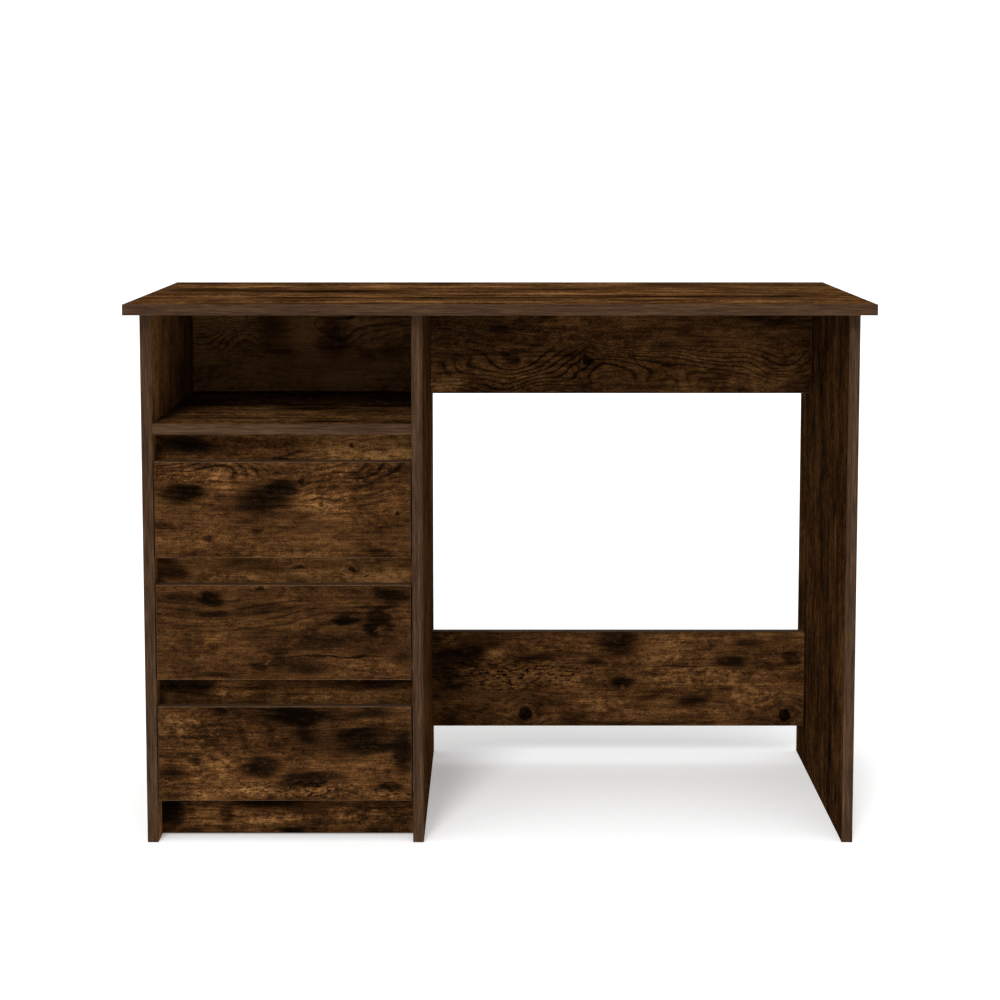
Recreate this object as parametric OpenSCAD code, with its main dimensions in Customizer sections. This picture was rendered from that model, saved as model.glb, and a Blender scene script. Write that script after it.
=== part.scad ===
// Writing desk with an open compartment and three inset drawers under its left side.
// Millimetres. The origin is on the floor, under the middle of the desktop.
// +X is to the right of a person facing the drawers, +Y runs back and +Z is up.

/* [Desk] */
// Width of the desktop
desk_w = 1025; // [950:5:1200]
// Depth of the desktop, front edge to back edge
desk_d = 500; // [500:5:600]
// Height of the desktop's upper face above the floor
desk_h = 760; // [740:5:800]
// Thickness of the desktop and of every carcass board
board_t = 15; // [15:1:18]

/* [Carcass] */
// How far the desktop stands out beyond each end panel
side_overhang = 17.5; // [0:2.5:40]
// How far the desktop stands out in front of the end panels
front_overhang = 35; // [10:5:50]
// Clear width inside the drawer cabinet
cabinet_w = 358; // [330:2:420]
// Height of the plinth board under the lowest drawer
plinth_h = 60; // [50:1:62]
// Height of each recessed rail
rail_h = 48; // [44:1:50]
// How far the rails and the plinth stand back from the drawer fronts
rail_setback = 35; // [30:1:40]
// How far the cabinet's back panel stands in from the desktop's back edge
back_panel_inset = 57; // [40:1:57]
// Height of the panel under the desktop in the knee space
modesty_h = 150; // [120:5:180]
// Height of the low panel between the two right-hand uprights
stretcher_h = 152; // [120:2:180]
// Gap between the floor and the low panel
stretcher_lift = 61; // [30:1:100]
// How far the panel under the desktop stands in from its back edge
modesty_inset = 110; // [80:5:150]
// How far the low panel stands in from the desktop's back edge
stretcher_inset = 75; // [75:5:150]

/* [Drawers] */
// Height of a drawer front
drawer_front_h = 135; // [133:1:138]
// Finger gap above each drawer front
finger_gap = 37.5; // [36:0.5:40]
// Gap between a drawer front and each cabinet side
drawer_side_gap = 1.5; // [1:0.5:3]
// Height of a drawer box
drawer_box_h = 100; // [80:5:100]
// Length of a drawer box behind its front
drawer_box_l = 365; // [350:5:370]
// Thickness of the drawer box sides and back
box_board_t = 12; // [12:1:13]

/* [Runners] */
// Length of a drawer runner
runner_l = 350; // [300:10:350]
// Space between a drawer box and the cabinet side
runner_space = 12.5; // [12.5:0.5:13]
// Radius of a runner's roller
roller_r = 8; // [7.5:0.1:8]
// Thickness of the runner's sheet steel
sheet_t = 1.2; // [1:0.1:1.2]

/* [Hidden] */
$fn = 40;

DRAWERS = ["lower_drawer", "middle_drawer", "upper_drawer"];
SIDES = ["left", "right"];

// Colours
BOARD = [0.30, 0.20, 0.13];
BOX_BOARD = [0.36, 0.27, 0.20];
STEEL = [0.75, 0.75, 0.76];
WHITE_STEEL = [0.90, 0.90, 0.88];
NYLON = [0.93, 0.93, 0.90];
BEECH = [0.80, 0.66, 0.48];
BROWN_PLASTIC = [0.25, 0.17, 0.11];

// A cut starts this far outside the face that it opens in.
over = 1;
// Radial clearance of a fitting in its hole
fit = 0.05;
// Empty space left at the bottom of a blind hole
tip_room = 0.4;

// Carcass planes
top_z = desk_h - board_t;
front_y = -desk_d / 2 + front_overhang;
back_y = desk_d / 2;
left_x = -desk_w / 2 + side_overhang;
cabinet_x0 = left_x + board_t;
cabinet_x1 = cabinet_x0 + cabinet_w;
knee_x0 = cabinet_x1 + board_t;
knee_x1 = -left_x - board_t;

// Drawer levels, counted from the lowest
first_drawer_z = 60;
drawer_pitch = drawer_front_h + finger_gap;
shelf_z = first_drawer_z + len(DRAWERS) * drawer_pitch;
function drawer_z(level) = first_drawer_z + level * drawer_pitch;

// Boards inside the carcass
rail_y = front_y + rail_setback;
rail_lap = 2;               // a rail's top stands this far above the drawer front's lower edge
plinth_z = 2;
back_panel_y = back_y - back_panel_inset;
modesty_y = back_y - modesty_inset;
stretcher_y = back_y - stretcher_inset;

// Cam fittings: [cam radius, cam depth, edge to cam centre, shank, neck, head and thread radius]
CARCASS_CAM = [7.5, 12.4, 24, 3.4, 1.9, 3.2, 2.5];
DRAWER_CAM = [5, 9.4, 18, 2.4, 1.3, 2.3, 2];
thread_l = 10.5;
head_l = 3;
neck_l = 4;
mouth_play = 0.3;           // room round the bolt's head inside the cam
bore_play = 0.6;            // room round the bolt's shank in the board's edge
cam_inset = 0.2;            // a cam's face lies this far below the board's face

// Dowels
dowel_r = 4;
dowel_in_panel = 10;
dowel_in_board = 20;

// Drawer box and runners, measured from a runner's inner floor
box_rise = 15;              // from a drawer front's lower edge to its box's lower edge
box_lift = 3;
box_front_y = front_y + board_t;
box_x0 = cabinet_x0 + runner_space;
box_x1 = cabinet_x1 - runner_space;
bottom_t = 3;
bottom_lift = 10;
groove = 5;
groove_h = bottom_t + 0.2;
runner_y = box_front_y + 2;
runner_end_y = runner_y + runner_l;
channel_h = 19;             // clear height inside the cabinet channel
channel_w = 10.5;
roller_w = 6.8;
pin_r = 2;
roller_inset = 12;          // from a runner's end to its roller's axis
front_roller_play = 0.3;    // under the front roller
rear_roller_play = 0.2;     // under the rear roller, and between the front one and the track
track_z = 2 * roller_r + front_roller_play + rear_roller_play;
front_roller_y = runner_y + roller_inset;
rear_roller_y = runner_end_y - roller_inset;
front_roller_z = roller_r + front_roller_play;
rear_roller_z = roller_r + rear_roller_play;
front_roller_x = 2.5;
rear_roller_x = 3;
foot_w = 10;                // width of the drawer runner's foot under the drawer side
function box_z(level) = drawer_z(level) + box_rise;
function runner_z(level) = box_z(level) - box_lift;

// Screws: [head radius, head height, shank radius, length under the head]
RUNNER_SCREW = [3.4, 1.3, 1.7, 12];
BLOCK_SCREW = [3.2, 1.8, 1.7, 22];
BOX_SCREW = [3.8, 2.4, 2, 34];
RUNNER_SCREW_YS = [runner_y + 48, runner_y + runner_l / 2, runner_end_y - 48];
FOOT_SCREW_YS = [runner_y + 28, runner_y + runner_l / 2, runner_end_y - 40];
BOX_SCREW_LIFTS = [35, drawer_box_h - 20];
DRAWER_CAM_LIFTS = [27, drawer_box_h - 20];

// A joint is [a point where the two boards meet, way]. In a joint's own frame +X runs into
// the board that carries the cam or most of the dowel, and +Z points out of the cam's face.
// A way is [mirror, rotation].
RIGHTWARD_CAM_BEHIND = [[0, 0, 0], [-90, 0, 0]];
LEFTWARD_CAM_BEHIND = [[1, 0, 0], [-90, 0, 0]];
RIGHTWARD_CAM_BELOW = [[0, 0, 0], [180, 0, 0]];
LEFTWARD_CAM_BELOW = [[1, 0, 0], [180, 0, 0]];
DOWNWARD_CAM_BEHIND = [[0, 0, 0], [-90, 90, 0]];
BACKWARD_CAM_RIGHT = [[0, 0, 0], [90, 0, 90]];
BACKWARD_CAM_LEFT = [[1, 0, 0], [90, 0, 90]];

module seat(joint) {
    translate(joint[0]) mirror(joint[1][0]) rotate(joint[1][1]) children();
}

// Joints at both ends of an upright board, at the heights zs
function end_joints(x0, x1, y, zs) =
    [for (z = zs, end = [[x0, RIGHTWARD_CAM_BEHIND], [x1, LEFTWARD_CAM_BEHIND]])
        [[end[0], y, z], end[1]]];

// Joints along the top edge of an upright board, under the desktop
function top_joints(xs, y) = [for (x = xs) [[x, y, top_z], DOWNWARD_CAM_BEHIND]];

function middle(y) = y + board_t / 2;

rail_joint_gap = 12;        // a rail's bolt is this far below its middle, and its dowel as far above
edge_joint_gap = 25;        // a cross panel's bolts are this far from its edges

SHELF_CAMS = [for (y = [front_y + 75, back_panel_y - 60],
                   end = [[cabinet_x0, RIGHTWARD_CAM_BELOW], [cabinet_x1, LEFTWARD_CAM_BELOW]])
    [[end[0], y, middle(shelf_z)], end[1]]];
SHELF_DOWELS = [for (j = SHELF_CAMS) [j[0] + [0, sign(-j[0][1]) * 40, 0], j[1]]];

RAIL_TOPS = [shelf_z, drawer_z(2) + rail_lap, drawer_z(1) + rail_lap];
function rail_ends(z) = end_joints(cabinet_x0, cabinet_x1, middle(rail_y), [z]);
function rail_cams(top) = rail_ends(top - rail_h / 2 - rail_joint_gap);
function rail_dowels(top) = rail_ends(top - rail_h / 2 + rail_joint_gap);
PLINTH_CAMS = rail_ends(plinth_z + plinth_h / 2 - rail_joint_gap);
PLINTH_DOWELS = rail_ends(plinth_z + plinth_h / 2 + rail_joint_gap);

cabinet_mid_x = (cabinet_x0 + cabinet_x1) / 2;
BACK_CAM_ZS = [first_drawer_z + 50, (first_drawer_z + top_z) / 2, top_z - 55];
BACK_DOWEL_ZS = [first_drawer_z + 100, top_z - 105];
BACK_CAMS = concat(
    end_joints(cabinet_x0, cabinet_x1, middle(back_panel_y), BACK_CAM_ZS),
    top_joints([cabinet_mid_x - 80, cabinet_mid_x + 80], middle(back_panel_y)));
BACK_DOWELS = concat(
    end_joints(cabinet_x0, cabinet_x1, middle(back_panel_y), BACK_DOWEL_ZS),
    top_joints([cabinet_mid_x], middle(back_panel_y)));

knee_mid_x = (knee_x0 + knee_x1) / 2;
MODESTY_CAMS = concat(
    end_joints(knee_x0, knee_x1, middle(modesty_y), [top_z - modesty_h + edge_joint_gap, top_z - 45]),
    top_joints([knee_mid_x - 160, knee_mid_x + 160], middle(modesty_y)));
MODESTY_DOWELS = concat(
    end_joints(knee_x0, knee_x1, middle(modesty_y), [top_z - modesty_h / 2 - 10]),
    top_joints([knee_mid_x], middle(modesty_y)));
STRETCHER_CAMS =
    end_joints(knee_x0, knee_x1, middle(stretcher_y),
               [stretcher_lift + edge_joint_gap, stretcher_lift + stretcher_h - edge_joint_gap]);
STRETCHER_DOWELS =
    end_joints(knee_x0, knee_x1, middle(stretcher_y), [stretcher_lift + stretcher_h / 2]);

UPRIGHT_XS = [left_x, cabinet_x1, knee_x1];
UPRIGHT_DOWELS = [for (x = UPRIGHT_XS, y = [front_y + 60, front_y + 180, back_y - 25])
    [[x + board_t / 2, y, top_z], DOWNWARD_CAM_BEHIND]];

CAM_JOINTS = concat(SHELF_CAMS, [for (top = RAIL_TOPS) each rail_cams(top)], PLINTH_CAMS,
                    BACK_CAMS, MODESTY_CAMS, STRETCHER_CAMS);
DOWEL_JOINTS = concat(SHELF_DOWELS, [for (top = RAIL_TOPS) each rail_dowels(top)], PLINTH_DOWELS,
                      BACK_DOWELS, MODESTY_DOWELS, STRETCHER_DOWELS, UPRIGHT_DOWELS);

function drawer_cam_joints(level) = [for (lift = DRAWER_CAM_LIFTS,
        side = [[box_x0 + box_board_t / 2, BACKWARD_CAM_RIGHT],
                [box_x1 - box_board_t / 2, BACKWARD_CAM_LEFT]])
    [[side[0], box_front_y, box_z(level) + lift], side[1]]];

// Corner blocks: [x of the upright's face, direction away from it]
BLOCKS = [[cabinet_x0, 1], [knee_x0, 1], [knee_x1, -1]];
block_l = 34;
block_s = 19;               // its two short sides
block_y = 12;
block_wall = 3;
block_floor_z = -11;        // where the upward screw's head bears
block_floor_x = 10;         // where the sideways screw's head bears

// ---------------------------------------------------------------- shapes that repeat

// A box from one corner to the opposite one
module board(low, high) {
    translate(low) cube(high - low);
}

// A round bar along +X between two places
module bar(r, x0, x1) {
    translate([x0, 0, 0]) rotate([0, 90, 0]) cylinder(r = r, h = x1 - x0);
}

// A cross recess, as cut in the head of a cam or screw whose top is at z = 0
module cross_recess(length, width, depth) {
    for (turn = [0, 90])
        rotate([0, 0, turn])
            translate([-length / 2, -width / 2, -depth]) cube([length, width, depth + over]);
}

// Cam lock: a drum with a mouth for the bolt's head, turned from the board's face
module cam_lock(cam, t) {
    translate([cam[2], 0, t / 2 - cam_inset]) difference() {
        translate([0, 0, cam_inset - cam[1]]) cylinder(r = cam[0], h = cam[1] - cam_inset);
        translate([0, 0, cam_inset - t / 2]) bar(cam[5] + mouth_play, -cam[0] - over, head_l);
        cross_recess(cam[0] * 1.3, 1.6, 2);
    }
}

// Cam bolt: thread in the upright, shank in the board's edge, head inside the cam
module cam_bolt(cam) {
    bar(cam[6], -thread_l, 0);
    bar(cam[3], 0, cam[2] - neck_l);
    bar(cam[4], cam[2] - neck_l, cam[2] - head_l / 2);
    bar(cam[5], cam[2] - head_l / 2, cam[2] + head_l / 2);
}

// What a cam fitting takes out of the board that carries it
module cam_cut(cam, t) {
    bar(cam[3] + bore_play, -over, cam[2]);
    translate([cam[2], 0, t / 2 - cam[1] - fit])
        cylinder(r = cam[0] + fit, h = cam[1] + over);
}

// What a cam fitting takes out of the upright
module bolt_cut(cam) {
    bar(cam[6] + fit, -thread_l - tip_room, over);
}

// Dowel with chamfered ends
module dowel() {
    chamfer = 1;
    bar(dowel_r, -dowel_in_panel + chamfer, dowel_in_board - chamfer);
    translate([-dowel_in_panel, 0, 0]) rotate([0, 90, 0])
        cylinder(r1 = dowel_r - chamfer, r2 = dowel_r, h = chamfer);
    translate([dowel_in_board - chamfer, 0, 0]) rotate([0, 90, 0])
        cylinder(r1 = dowel_r, r2 = dowel_r - chamfer, h = chamfer);
}

// A dowel's two holes; each board keeps the one that is in it
module dowel_cut() {
    bar(dowel_r + fit, -dowel_in_panel - tip_room, dowel_in_board + tip_room);
}

// Pan-head screw that points down, its head standing on z = 0
module pan_screw(size) {
    tip = 3;
    difference() {
        cylinder(r = size[0], h = size[1]);
        translate([0, 0, size[1]]) cross_recess(size[0] * 1.1, 0.9, size[1] * 0.6);
    }
    translate([0, 0, -size[3] + tip]) cylinder(r = size[2], h = size[3] - tip);
    translate([0, 0, -size[3]]) cylinder(r1 = 0.4, r2 = size[2], h = tip);
}

// Countersunk screw that points down, its head flush with z = 0
module flat_screw(size) {
    tip = 3;
    difference() {
        translate([0, 0, -size[1]]) cylinder(r1 = size[2], r2 = size[0], h = size[1]);
        cross_recess(size[0] * 1.1, 0.9, 1.4);
    }
    translate([0, 0, -size[3] + tip]) cylinder(r = size[2], h = size[3] - tip - size[1]);
    translate([0, 0, -size[3]]) cylinder(r1 = 0.4, r2 = size[2], h = tip);
}

// The hole of either screw, with the countersink of the flat one
module screw_cut(size, sunk) {
    translate([0, 0, -size[3] - tip_room]) cylinder(r = size[2] + fit, h = size[3] + tip_room + over);
    if (sunk) {
        translate([0, 0, -size[1]]) cylinder(r1 = size[2] + fit, r2 = size[0] + fit, h = size[1]);
        cylinder(r = size[0] + fit, h = over);
    }
}

// ---------------------------------------------------------------- carcass boards

module drilled_board(low, high, cams, pegs) {
    difference() {
        board(low, high);
        for (j = cams) seat(j) cam_cut(CARCASS_CAM, board_t);
        for (j = pegs) seat(j) dowel_cut();
    }
}

module desktop() {
    color(BOARD) difference() {
        board([-desk_w / 2, -desk_d / 2, top_z], [desk_w / 2, desk_d / 2, desk_h]);
        for (j = CAM_JOINTS) if (j[1] == DOWNWARD_CAM_BEHIND) seat(j) bolt_cut(CARCASS_CAM);
        for (j = DOWEL_JOINTS) if (j[1] == DOWNWARD_CAM_BEHIND) seat(j) dowel_cut();
        for (b = BLOCKS) block_top_screw(b) screw_cut(BLOCK_SCREW, false);
    }
}

// Upright panel whose faces are at x0 and x0 + board_t
module upright(x0) {
    faces = [x0, x0 + board_t];
    color(BOARD) difference() {
        board([x0, front_y, 0], [x0 + board_t, back_y, top_z]);
        for (j = CAM_JOINTS)
            if (j[1] != DOWNWARD_CAM_BEHIND && on_face(j, faces)) seat(j) bolt_cut(CARCASS_CAM);
        for (j = DOWEL_JOINTS)
            if (j[1] != DOWNWARD_CAM_BEHIND && on_face(j, faces)) seat(j) dowel_cut();
        for (j = UPRIGHT_DOWELS) if (abs(j[0][0] - x0 - board_t / 2) < over) seat(j) dowel_cut();
        for (b = BLOCKS) if (on_face([[b[0]]], faces)) block_side_screw(b) screw_cut(BLOCK_SCREW, false);
        for (level = [0 : len(DRAWERS) - 1], side = SIDES)
            if (on_face([[runner_face(side)]], faces))
                for (y = RUNNER_SCREW_YS) runner_frame(level, side) runner_screw_place(y)
                    screw_cut(RUNNER_SCREW, false);
    }
}

function on_face(joint, faces) = min([for (x = faces) abs(joint[0][0] - x)]) < 0.01;

module left_side_panel() {
    upright(left_x);
}

module middle_side_panel() {
    upright(cabinet_x1);
}

module right_side_panel() {
    upright(knee_x1);
}

module compartment_shelf() {
    color(BOARD) drilled_board(
        [cabinet_x0, front_y, shelf_z], [cabinet_x1, back_panel_y, shelf_z + board_t],
        SHELF_CAMS, SHELF_DOWELS);
}

module cabinet_back_panel() {
    color(BOARD) drilled_board(
        [cabinet_x0, back_panel_y, first_drawer_z], [cabinet_x1, back_panel_y + board_t, top_z],
        BACK_CAMS, BACK_DOWELS);
}

// Recessed rail whose upper edge is at the height given
module rail(top) {
    color(BOARD) drilled_board(
        [cabinet_x0, rail_y, top - rail_h], [cabinet_x1, rail_y + board_t, top],
        rail_cams(top), rail_dowels(top));
}

module shelf_rail() {
    rail(RAIL_TOPS[0]);
}

module upper_drawer_rail() {
    rail(RAIL_TOPS[1]);
}

module lower_drawer_rail() {
    rail(RAIL_TOPS[2]);
}

module plinth() {
    color(BOARD) drilled_board(
        [cabinet_x0, rail_y, plinth_z], [cabinet_x1, rail_y + board_t, plinth_z + plinth_h],
        PLINTH_CAMS, PLINTH_DOWELS);
}

module modesty_panel() {
    color(BOARD) drilled_board(
        [knee_x0, modesty_y, top_z - modesty_h], [knee_x1, modesty_y + board_t, top_z],
        MODESTY_CAMS, MODESTY_DOWELS);
}

module stretcher_panel() {
    color(BOARD) drilled_board(
        [knee_x0, stretcher_y, stretcher_lift],
        [knee_x1, stretcher_y + board_t, stretcher_lift + stretcher_h],
        STRETCHER_CAMS, STRETCHER_DOWELS);
}

// ---------------------------------------------------------------- carcass fittings

module cam_locks() {
    color(STEEL) for (j = CAM_JOINTS) seat(j) cam_lock(CARCASS_CAM, board_t);
}

module cam_bolts() {
    color(STEEL) for (j = CAM_JOINTS) seat(j) cam_bolt(CARCASS_CAM);
}

module dowels() {
    color(BEECH) for (j = DOWEL_JOINTS) seat(j) dowel();
}

// The corner block's own frame: +X away from the upright, z = 0 at the desktop's lower face
module block_frame(b) {
    translate([b[0], block_y, top_z]) mirror([b[1] < 0 ? 1 : 0, 0, 0]) children();
}

module block_top_screw(b) {
    block_frame(b) translate([block_s / 2, block_l / 4, block_floor_z]) rotate([180, 0, 0]) children();
}

module block_side_screw(b) {
    block_frame(b) translate([block_floor_x, -block_l / 4, -block_s / 2]) rotate([0, 90, 0]) children();
}

// Plastic corner block: two pockets, each with a floor that a screw's head bears on
module corner_blocks() {
    pocket_l = block_l / 2 - block_wall * 1.5;
    pocket_w = block_s - 2 * block_wall;
    screw_r = BLOCK_SCREW[2] + fit;
    color(BROWN_PLASTIC) for (b = BLOCKS) block_frame(b) difference() {
        translate([0, -block_l / 2, -block_s]) cube([block_s, block_l, block_s]);
        translate([block_wall, block_wall / 2, -block_s - over])
            cube([pocket_w, pocket_l, block_s + block_floor_z + over]);
        translate([block_floor_x, -block_l / 2 + block_wall, -block_s + block_wall])
            cube([block_s - block_floor_x + over, pocket_l, pocket_w]);
        translate([block_s / 2, block_l / 4, -block_s]) cylinder(r = screw_r, h = block_s + over);
        translate([0, -block_l / 4, -block_s / 2]) bar(screw_r, -over, block_s);
    }
}

module block_screws() {
    color(STEEL) for (b = BLOCKS) {
        block_top_screw(b) pan_screw(BLOCK_SCREW);
        block_side_screw(b) pan_screw(BLOCK_SCREW);
    }
}

// ---------------------------------------------------------------- runners

// A runner's own frame: x = 0 on the cabinet side, +X towards the drawer, z = 0 on the
// inner floor of the cabinet channel. The right-hand runner is the left one's mirror image.
function runner_face(side) = side == "left" ? cabinet_x0 : cabinet_x1;

module runner_frame(level, side) {
    translate([runner_face(side), 0, runner_z(level)])
        mirror([side == "left" ? 0 : 1, 0, 0]) children();
}

module runner_screw_place(y) {
    translate([sheet_t, y, channel_h / 2]) rotate([0, 90, 0]) children();
}

// Channel screwed to the cabinet side, with the front roller's pin
module cabinet_runner(level, side) {
    color(WHITE_STEEL) runner_frame(level, side) difference() {
        union() {
            board([0, runner_y, -sheet_t], [sheet_t, runner_end_y, channel_h + sheet_t]);
            board([0, runner_y, -sheet_t], [channel_w, runner_end_y, 0]);
            board([0, runner_y, channel_h], [channel_w, runner_end_y, channel_h + sheet_t]);
            translate([0, front_roller_y, front_roller_z]) bar(pin_r, 0, front_roller_x + roller_w + 0.5);
        }
        for (y = RUNNER_SCREW_YS)
            runner_screw_place(y) translate([0, 0, -sheet_t - over])
                cylinder(r = RUNNER_SCREW[2] + 0.2, h = sheet_t + 2 * over);
    }
}

// Angle under the drawer side, with the track that runs on the front roller
// and the pin of the rear roller
module drawer_runner(level, side) {
    leg_x = runner_space - sheet_t;
    color(WHITE_STEEL) runner_frame(level, side) difference() {
        union() {
            board([leg_x, runner_y, box_lift - sheet_t],
                  [runner_space, runner_end_y, track_z + sheet_t]);
            board([leg_x, runner_y, box_lift - sheet_t],
                  [runner_space + foot_w, runner_end_y, box_lift]);
            board([rear_roller_x + 0.2, runner_y, track_z],
                  [runner_space, runner_end_y, track_z + sheet_t]);
            translate([0, rear_roller_y, rear_roller_z]) bar(pin_r, rear_roller_x + 0.2, leg_x + fit);
        }
        for (y = FOOT_SCREW_YS)
            translate([runner_space + box_board_t / 2, y, -over])
                cylinder(r = RUNNER_SCREW[2] + 0.2, h = box_lift + 2 * over);
    }
}

// Nylon roller that turns on its pin, axis along X, inner face at x = 0
module roller() {
    edge = 0.8;
    color(NYLON) rotate([90, 0, 90]) rotate_extrude()
        polygon([[pin_r + fit, 0], [roller_r - edge, 0], [roller_r, edge],
                 [roller_r, roller_w - edge], [roller_r - edge, roller_w],
                 [pin_r + fit, roller_w]]);
}

module front_rollers(level) {
    for (side = SIDES) runner_frame(level, side)
        translate([front_roller_x, front_roller_y, front_roller_z]) roller();
}

module rear_rollers(level) {
    for (side = SIDES) runner_frame(level, side)
        translate([rear_roller_x, rear_roller_y, rear_roller_z]) roller();
}

module runner_screws() {
    color(STEEL) for (level = [0 : len(DRAWERS) - 1], side = SIDES, y = RUNNER_SCREW_YS)
        runner_frame(level, side) runner_screw_place(y) pan_screw(RUNNER_SCREW);
}

// ---------------------------------------------------------------- drawers

// The slot that holds the drawer bottom, cut to the depth given on every side
module bottom_slot(level, depth) {
    z = box_z(level) + bottom_lift - (groove_h - bottom_t) / 2;
    board([box_x0 + box_board_t - depth, box_front_y - depth, z],
          [box_x1 - box_board_t + depth, back_board_y + depth, z + groove_h]);
}

back_board_y = box_front_y + drawer_box_l - box_board_t;

module drawer_front(level) {
    color(BOARD) difference() {
        board([cabinet_x0 + drawer_side_gap, front_y, drawer_z(level)],
              [cabinet_x1 - drawer_side_gap, box_front_y, drawer_z(level) + drawer_front_h]);
        bottom_slot(level, groove);
        for (j = drawer_cam_joints(level)) seat(j) bolt_cut(DRAWER_CAM);
    }
}

// Places of the screws that hold the drawer back, heads on the outer faces of the sides
module box_screw_places(level, side) {
    for (lift = BOX_SCREW_LIFTS)
        translate([side == "left" ? box_x0 : box_x1, back_board_y + box_board_t / 2, box_z(level) + lift])
            mirror([side == "left" ? 0 : 1, 0, 0]) rotate([0, -90, 0]) children();
}

// Places of the screws that hold a drawer runner, heads under its foot
module foot_screw_places(level, side) {
    for (y = FOOT_SCREW_YS)
        runner_frame(level, side) translate([runner_space + box_board_t / 2, y, box_lift - sheet_t])
            rotate([180, 0, 0]) children();
}

module drawer_side(level, side) {
    x0 = side == "left" ? box_x0 : box_x1 - box_board_t;
    color(BOX_BOARD) difference() {
        board([x0, box_front_y, box_z(level)],
              [x0 + box_board_t, box_front_y + drawer_box_l, box_z(level) + drawer_box_h]);
        bottom_slot(level, groove);
        for (j = drawer_cam_joints(level))
            if (abs(j[0][0] - x0 - box_board_t / 2) < over) seat(j) cam_cut(DRAWER_CAM, box_board_t);
        box_screw_places(level, side) screw_cut(BOX_SCREW, true);
        foot_screw_places(level, side) screw_cut(RUNNER_SCREW, false);
    }
}

module drawer_back(level) {
    color(BOX_BOARD) difference() {
        board([box_x0 + box_board_t, back_board_y, box_z(level)],
              [box_x1 - box_board_t, back_board_y + box_board_t, box_z(level) + drawer_box_h]);
        bottom_slot(level, groove);
        for (side = SIDES) box_screw_places(level, side) screw_cut(BOX_SCREW, true);
    }
}

module drawer_bottom(level) {
    inset = groove - 0.5;
    z = box_z(level) + bottom_lift;
    color(BOX_BOARD)
        board([box_x0 + box_board_t - inset, box_front_y - inset, z],
              [box_x1 - box_board_t + inset, back_board_y + inset, z + bottom_t]);
}

module drawer_screws(level) {
    color(STEEL) for (side = SIDES) {
        box_screw_places(level, side) flat_screw(BOX_SCREW);
        foot_screw_places(level, side) pan_screw(RUNNER_SCREW);
    }
}

module drawer_cam_locks(level) {
    color(STEEL) for (j = drawer_cam_joints(level)) seat(j) cam_lock(DRAWER_CAM, box_board_t);
}

module drawer_cam_bolts(level) {
    color(STEEL) for (j = drawer_cam_joints(level)) seat(j) cam_bolt(DRAWER_CAM);
}

// ---------------------------------------------------------------- assembly

desktop();
left_side_panel();
middle_side_panel();
right_side_panel();
compartment_shelf();
cabinet_back_panel();
shelf_rail();
upper_drawer_rail();
lower_drawer_rail();
plinth();
modesty_panel();
stretcher_panel();
cam_locks();
cam_bolts();
dowels();
corner_blocks();
block_screws();
runner_screws();
for (level = [0 : len(DRAWERS) - 1]) {
    cabinet_runner(level, "left");
    cabinet_runner(level, "right");
    front_rollers(level);
    drawer_front(level);
    drawer_side(level, "left");
    drawer_side(level, "right");
    drawer_back(level);
    drawer_bottom(level);
    drawer_runner(level, "left");
    drawer_runner(level, "right");
    rear_rollers(level);
    drawer_screws(level);
    drawer_cam_locks(level);
    drawer_cam_bolts(level);
}
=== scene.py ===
"""Looks of the writing desk with drawers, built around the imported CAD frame.

Metres. The origin is on the floor under the middle of the desktop, +X to the right, +Y to the back
and +Z up. Every visible board is a bevelled core with its own printed oak faces and separate
edge-band strips. Drawer boxes, runners, rollers and fasteners are the CAD nodes themselves.
"""

import math

import bmesh
import bpy
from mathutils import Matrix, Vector


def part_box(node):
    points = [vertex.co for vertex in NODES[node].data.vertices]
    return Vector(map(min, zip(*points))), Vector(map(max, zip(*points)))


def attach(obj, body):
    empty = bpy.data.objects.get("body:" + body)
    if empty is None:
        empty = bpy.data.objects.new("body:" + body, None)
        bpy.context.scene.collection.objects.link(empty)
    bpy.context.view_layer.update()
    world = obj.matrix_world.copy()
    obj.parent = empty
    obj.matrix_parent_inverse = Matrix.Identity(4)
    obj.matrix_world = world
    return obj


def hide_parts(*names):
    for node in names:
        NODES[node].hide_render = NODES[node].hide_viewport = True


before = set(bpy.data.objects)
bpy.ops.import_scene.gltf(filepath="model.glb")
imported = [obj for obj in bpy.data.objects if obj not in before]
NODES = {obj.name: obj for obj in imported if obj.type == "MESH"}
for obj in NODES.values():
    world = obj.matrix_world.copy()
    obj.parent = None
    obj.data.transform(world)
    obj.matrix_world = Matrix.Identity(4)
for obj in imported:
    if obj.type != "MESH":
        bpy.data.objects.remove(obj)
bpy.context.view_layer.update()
DRAWERS = ("lower_drawer", "middle_drawer", "upper_drawer")

BAND_T = 0.0008  # thickness of an edge-band strip
CORE_ROUND = 0.0002  # rounding of a board's raw corners
BAND_ROUND = 0.0006  # rounding of a band's corners
CUT_GAP = 0.0002  # clearance of a cam in its pocket
CUT_PAST = 0.001  # how far a pocket's cutter stands out of the board
SAME_PLACE = 1e-6  # vertices closer than this are one
WELD_REACH = 5e-6  # joins the split corners of a CAD node

# Sides of a board: the axis across the side, and its end of that axis.
X, Y, Z = range(3)
SIDES = {"left": (X, -1), "right": (X, 1), "front": (Y, -1), "back": (Y, 1),
         "bottom": (Z, -1), "top": (Z, 1)}


# ---------------------------------------------------------------- shader nodes


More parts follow.
